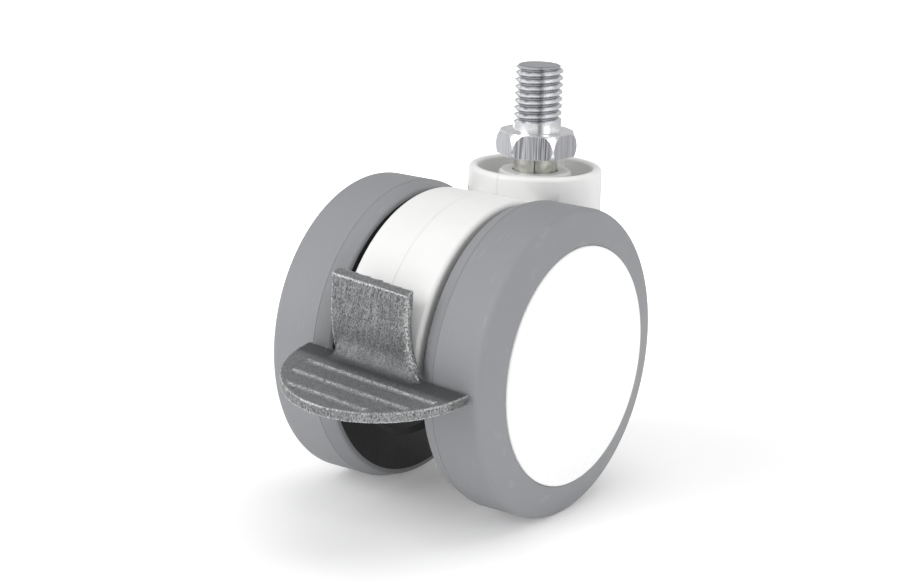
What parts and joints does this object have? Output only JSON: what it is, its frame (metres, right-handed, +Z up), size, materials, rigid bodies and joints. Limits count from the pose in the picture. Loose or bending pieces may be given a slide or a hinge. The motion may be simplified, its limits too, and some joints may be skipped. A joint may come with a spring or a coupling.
{
  "type": "threaded stem castor",
  "caption": "Twin wheel swivel castor with a threaded stem, hexagon collar, white hood housing, grey tyres with smooth caps and a cast foot brake pedal.",
  "frame": {"origin": "on the stem axis where the thread starts, just above the hexagon collar", "axes": "+Z up the stem and the swivel axis, X along the wheel axle, -Y towards the brake pedal"},
  "size_m": [0.0676, 0.1104, 0.1027],
  "materials": {
    "zinc_plated_steel": "bright zinc plating",
    "bright_steel": "ground",
    "spring_steel": "plain",
    "white_nylon": "satin",
    "white_cap": "smooth",
    "grey_tyre": "satin",
    "black_polypropylene": "matte",
    "zinc_casting": "rough die cast"
  },
  "bodies": {
    "stem_body": {"stem": "zinc_plated_steel", "grip_ring": "spring_steel"},
    "housing_body": {"housing": "white_nylon", "swivel_bush": "bright_steel", "thrust_ball": "bright_steel", "axle": "bright_steel", "axle_clip_left": "spring_steel", "axle_clip_right": "spring_steel", "bearing_inner_left": "bright_steel", "bearing_inner_right": "bright_steel", "detent_spring": "spring_steel", "brake_spring": "spring_steel"},
    "wheel_left_body": {"tyre_left": "grey_tyre", "wheel_core_left": "black_polypropylene", "wheel_cap_left": "white_cap", "bearing_outer_left": "bright_steel"},
    "wheel_right_body": {"tyre_right": "grey_tyre", "wheel_core_right": "black_polypropylene", "wheel_cap_right": "white_cap", "bearing_outer_right": "bright_steel"},
    "cage_left_body": {"bearing_balls_left": "bright_steel", "bearing_cage_left": "black_polypropylene"},
    "cage_right_body": {"bearing_balls_right": "bright_steel", "bearing_cage_right": "black_polypropylene"},
    "pedal_body": {"brake_pedal": "zinc_casting"},
    "bar_body": {"brake_bar": "zinc_casting"}
  },
  "joints": [
    {"name": "swivel", "type": "hinge", "parent": "stem_body", "child": "housing_body", "pos_m": [0, 0, -0.02], "axis": [0, 0, 1], "continuous": true},
    {"name": "wheel_left_spin", "type": "hinge", "parent": "housing_body", "child": "wheel_left_body", "pos_m": [0, -0.028, -0.0495], "axis": [1, 0, 0], "continuous": true},
    {"name": "wheel_right_spin", "type": "hinge", "parent": "housing_body", "child": "wheel_right_body", "pos_m": [0, -0.028, -0.0495], "axis": [1, 0, 0], "continuous": true},
    {"name": "pedal_press", "type": "hinge", "parent": "housing_body", "child": "pedal_body", "pos_m": [0, -0.028, -0.0495], "axis": [1, 0, 0], "range_deg": [0, 20]},
    {"name": "brake_bar_lift", "type": "slide", "parent": "housing_body", "child": "bar_body", "axis": [0, 0, 1], "range_m": [0, 0.0018], "deforming": ["brake_spring"]},
    {"name": "cage_left_spin", "type": "hinge", "parent": "housing_body", "child": "cage_left_body", "pos_m": [0, -0.028, -0.0495], "axis": [1, 0, 0], "continuous": true},
    {"name": "cage_right_spin", "type": "hinge", "parent": "housing_body", "child": "cage_right_body", "pos_m": [0, -0.028, -0.0495], "axis": [1, 0, 0], "continuous": true}
  ],
  "couplings": [
    {"joint": "brake_bar_lift", "follows": "pedal_press", "m_per_rad": 0.0051566},
    {"joint": "cage_left_spin", "follows": "wheel_left_spin", "ratio": 0.6313},
    {"joint": "cage_right_spin", "follows": "wheel_right_spin", "ratio": 0.6313}
  ]
}
